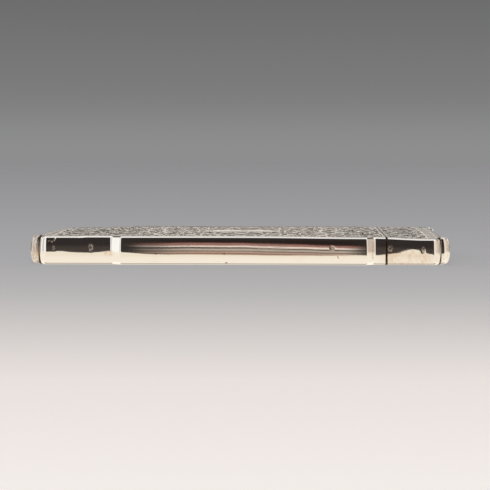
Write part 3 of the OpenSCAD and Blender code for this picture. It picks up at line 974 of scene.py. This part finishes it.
# The wall behind the case by elevation in degrees.
HIGH_BACK = (
    (0, (160, 158, 156)), (6, (150, 146, 142)), (10, (225, 219, 210)), (13, (262, 255, 246)),
    (25, (262, 255, 246)), (30, (90, 80, 72)), (50, (56, 48, 42)), (60, (200, 195, 190)),
)
CEILING = (1.02, 1.00, 0.97)
ZENITH = (0.70, 0.69, 0.67)
GLOW_BELOW = (250, 240, 224)
SLOT_DARK = (0.030, 0.025, 0.023)
SLOT_DIM = (0.058, 0.047, 0.041)
# The tint of the floor's painted glow.
FLOOR_PAINTED_GLOW = (0.295, 0.32, 0.37)


def bearing(degrees):
    """The place of a bearing on the 0 to 1 scale round the tent."""
    return 0.5 + degrees / 360


def build_world():
    """A light tent: bright walls, brighter ceiling, cream below, and a dark slot at the front."""
    world = bpy.data.worlds.new("tent")
    bpy.context.scene.world = world
    world.use_nodes = True
    n = Nodes(world.node_tree)
    x, y, z = n.split(n.add("ShaderNodeTexCoord").outputs["Generated"])
    full_turn = n.math("DIVIDE", n.math("ARCTAN2", x, n.times(y, -1.0)), 2 * math.pi)
    around = n.math("ADD", full_turn, 0.5)
    walls = n.ramp(around, [(bearing(turn), rgb) for turn, rgb in WALLS])
    elevation = n.math("ARCSINE", z)

    def rising(low, high):
        """0 at the elevation low, 1 at high, in degrees."""
        return n.step(elevation, math.radians(low), math.radians(high))

    front = n.times(n.step(around, bearing(-14), bearing(-12)), n.step(around, bearing(14), bearing(12)))
    slot = n.times(front, rising(72, 60))
    height = n.math("DIVIDE", elevation, math.pi / 2, clamp=True)
    behind = n.ramp(height, [(e / 90, rgb) for e, rgb in HIGH_BACK])
    walls = n.mix(n.step(y, 0.1, 0.6), walls, behind)
    sky = n.mix(rising(48, 62), walls, CEILING)
    sky = n.mix(rising(78, 84), sky, ZENITH)
    dim = n.mix(rising(1, 10), SLOT_DIM, SLOT_DARK)
    sky = n.mix(slot, sky, dim)
    under = n.mix(front, rising(-2, -8), rising(-17, -18))
    low = n.ramp(n.math("DIVIDE", elevation, -math.pi / 2, clamp=True), [
        (0.0, GLOW_BELOW), (0.24, GLOW_BELOW), (0.34, (270, 262, 246)), (0.52, (262, 252, 236)),
        (0.66, (206, 197, 185)), (0.85, (150, 143, 136)),
    ])
    n.put(n.mix(under, sky, low), world.node_tree.nodes["Background"].inputs["Color"])


def stage_object(name, vertices, faces, material):
    """Something of the studio, not of the case, from vertices in metres."""
    mesh = bpy.data.meshes.new(name)
    mesh.from_pydata([tuple(v) for v in vertices], [], faces)
    mesh.materials.append(material)
    obj = bpy.data.objects.new(name, mesh)
    bpy.context.scene.collection.objects.link(obj)
    return obj


def glow_material(name):
    """A material that only shines, its node helper, and the socket for its colour."""
    material = bpy.data.materials.new(name)
    material.use_nodes = True
    nodes = material.node_tree.nodes
    nodes.remove(nodes["Principled BSDF"])
    n = Nodes(material.node_tree)
    glow = n.add("ShaderNodeEmission")
    n.put(glow.outputs[0], nodes["Material Output"].inputs["Surface"])
    return material, n, glow.inputs["Color"]


def world_xyz(n):
    return n.split(n.add("ShaderNodeNewGeometry").outputs["Position"])


def seen_only_in_reflections(obj):
    obj.visible_camera = obj.visible_diffuse = obj.visible_shadow = False
    obj.visible_transmission = False


# Painted light on the floor, by how steeply the camera looks down on it, from the far end to the near:
# brighter towards the camera.
FLOOR_PAINTED_LIGHT = (
    (0.008, (142, 142, 143)), (0.045, (167, 167, 168)), (0.060, (182, 181, 180)),
    (0.085, (220, 215, 211)), (0.097, (233, 226, 221)), (0.140, (243, 238, 233)),
)
STEEPEST = FLOOR_PAINTED_LIGHT[-1][0]


def painted_floor_light(n):
    """Painted light on the floor: its colour brightens towards the camera."""
    away = n.math("MAXIMUM", n.math("SUBTRACT", world_xyz(n)[1], CAMERA_AT.y), 0.1)
    steep = n.math("DIVIDE", CAMERA_AT.z / STEEPEST, away, clamp=True)
    return n.ramp(steep, [(slope / STEEPEST, rgb) for slope, rgb in FLOOR_PAINTED_LIGHT])


def make_floor():
    """A pale floor with painted light: brighter towards the camera, and glowing with the same painted
    light.
    """
    material = bpy.data.materials.new("floor")
    material.use_nodes = True
    n = Nodes(material.node_tree)
    bsdf = material.node_tree.nodes["Principled BSDF"]
    bsdf.inputs["Roughness"].default_value = 1.0
    bsdf.inputs["Specular IOR Level"].default_value = 0.0
    shade = painted_floor_light(n)
    n.put(shade, bsdf.inputs["Base Color"])
    # Painted glow: the floor shines with its own painted light, times a tint.
    n.put(n.mix(1.0, shade, FLOOR_PAINTED_GLOW, "MULTIPLY"), bsdf.inputs["Emission Color"])
    bsdf.inputs["Emission Strength"].default_value = 1.0
    size = 6.0
    corners = [(-size, -size, 0), (size, -size, 0), (size, size, 0), (-size, size, 0)]
    stage_object("floor", corners, [(0, 1, 2, 3)], material).visible_glossy = False


# Painted light on the backdrop by height: a glowing grey, darker towards the top.
WALL_GREYS = ((0.0, 142), (0.10, 133), (0.25, 122), (0.48, 109), (1.0, 104))


def make_backdrop():
    """A grey wall all round, far off, seen only by the camera, glowing with painted light that darkens
    towards the top. Its foot matches the floor's painted light.
    """
    material, n, colour = glow_material("backdrop")
    height = n.math("DIVIDE", world_xyz(n)[2], 0.5, clamp=True)
    wall = n.ramp(height, [(share, (grey, grey, grey)) for share, grey in WALL_GREYS])
    n.put(n.mix(n.step(height, 0.0, 0.2), painted_floor_light(n), wall), colour)
    radius, steps = 3.0, 64
    turn = np.linspace(0, 2 * math.pi, steps, endpoint=False)
    ring = [(radius * math.cos(a), radius * math.sin(a)) for a in turn]
    points = [(x, y, z) for z in (0.0, 3.0) for x, y in ring]
    faces = [(i, (i + 1) % steps, steps + (i + 1) % steps, steps + i) for i in range(steps)]
    wall = stage_object("backdrop", points, faces, material)
    wall.visible_glossy = wall.visible_diffuse = wall.visible_shadow = False


# Where light turns to dark in the near edge: place along it, and height there from a level line.
# The edge is convex, so the board that it reflects has the same line made taller.
DIVIDE = (
    (-47, -0.4), (-45.6, -0.4), (-43.9, -0.18), (-41.8, -0.55), (-38, -0.65), (-35, -0.4),
    (-33.6, -0.15), (-30, -0.15), (-21.5, -0.8), (-17, -0.95), (-9, -0.95), (1, -1.08),
    (20, -1.08), (27, -1.0), (33.6, -1.15), (37.6, -0.55), (38.6, -0.55), (41.2, 0.7), (41.8, 0.7),
    (44.1, -0.4), (47, -0.8),
)
BOARD_LEVEL, BOARD_GAIN = 2.1, 5.3


def make_low_card():
    """A cream board low in front, whose wavy top edge divides light from dark in the edge."""
    material, n, colour = glow_material("low_card")
    depth = n.times(n.math("SUBTRACT", 0.002, world_xyz(n)[2]), 1 / 0.012, clamp=True)
    n.put(n.ramp(depth, [
        (0.0, (250, 243, 226)), (0.18, (246, 234, 216)), (0.5, (242, 230, 211)), (0.75, (248, 238, 221)),
        (1.0, GLOW_BELOW),
    ]), colour)
    far = -0.064
    xs = np.linspace(-60, 60, 481)
    line = np.interp(xs, *zip(*DIVIDE))
    line = np.convolve(np.pad(line, 2, mode="edge"), np.ones(5) / 5, mode="valid")
    tops = BOARD_LEVEL + BOARD_GAIN * line
    points = [(x * MM, far, z * MM) for x, z in zip(xs, tops)] + [(x * MM, far, -0.2) for x in xs]
    k = len(xs)
    faces = [(i, i + 1, k + i + 1, k + i) for i in range(k - 1)]
    seen_only_in_reflections(stage_object("low_card", points, faces, material))


def make_streak_card():
    """A board in long soft stripes, for the middle stretch of the near edge to reflect."""
    material, n, colour = glow_material("streak_card")
    x, _, z = world_xyz(n)
    far, level_z = -0.200, 0.0034
    away = -far - HALF_W * MM
    rise = n.math("DIVIDE", n.math("SUBTRACT", z, level_z), away)
    elevation = n.math("DEGREES", n.math("ARCTANGENT", rise))
    across = n.math("DIVIDE", x, MM)
    slide = n.times(n.math("MAXIMUM", n.math("ADD", across, 1.5), 0.0), 0.23)
    at = n.vector(n.times(across, 0.10), n.times(elevation, 0.35))
    wobble = n.muladd(n.noise(at, 1.0, 4.0, 0.6), 4.0, -2.0)
    level = n.math("ADD", n.math("ADD", elevation, slide), wobble)
    share = n.math("DIVIDE", n.math("ADD", level, 16.0), 36.0, clamp=True)
    stripes = n.ramp(share, [((level + 16) / 36, rgb) for level, rgb in (
        (-12.0, (214, 195, 173)), (-10.2, (150, 118, 98)), (-8.2, (146, 112, 95)),
        (-7.0, (192, 164, 146)), (-4.8, (176, 156, 142)), (-4.2, (104, 92, 80)), (-3.0, (108, 96, 84)),
        (-2.2, (186, 170, 156)), (-0.2, (192, 180, 166)), (1.4, (168, 156, 142)), (2.2, (66, 56, 48)),
        (4.0, (74, 62, 54)), (4.6, (242, 226, 212)), (7.4, (240, 220, 206)), (7.9, (104, 70, 58)),
        (9.0, (150, 108, 96)), (11.6, (166, 122, 112)), (12.8, (76, 52, 46)), (15.0, (40, 32, 29)),
    )])
    lines = n.vector(n.times(across, 0.03), n.times(level, 0.55))
    frayed = n.muladd(n.noise(lines, 1.0, 3.0, 0.6, offset=(3, 1, 0)), 9.0, -4.5)
    left = n.step(n.math("ADD", across, frayed), -23.0, -11.5)
    right = n.step(n.math("ADD", across, frayed), 22.6, 16.5)
    n.put(n.mix(n.times(left, right), SLOT_DARK, stripes), colour)
    corners = [(x * MM, far, z * MM) for x, z in ((-27, -45), (26, -45), (26, 60), (-27, 60))]
    seen_only_in_reflections(stage_object("streak_card", corners, [(0, 1, 2, 3)], material))


build_world()
make_floor()
make_backdrop()
make_low_card()
make_streak_card()

make_camera()
bpy.context.scene.view_settings.view_transform = "Standard"
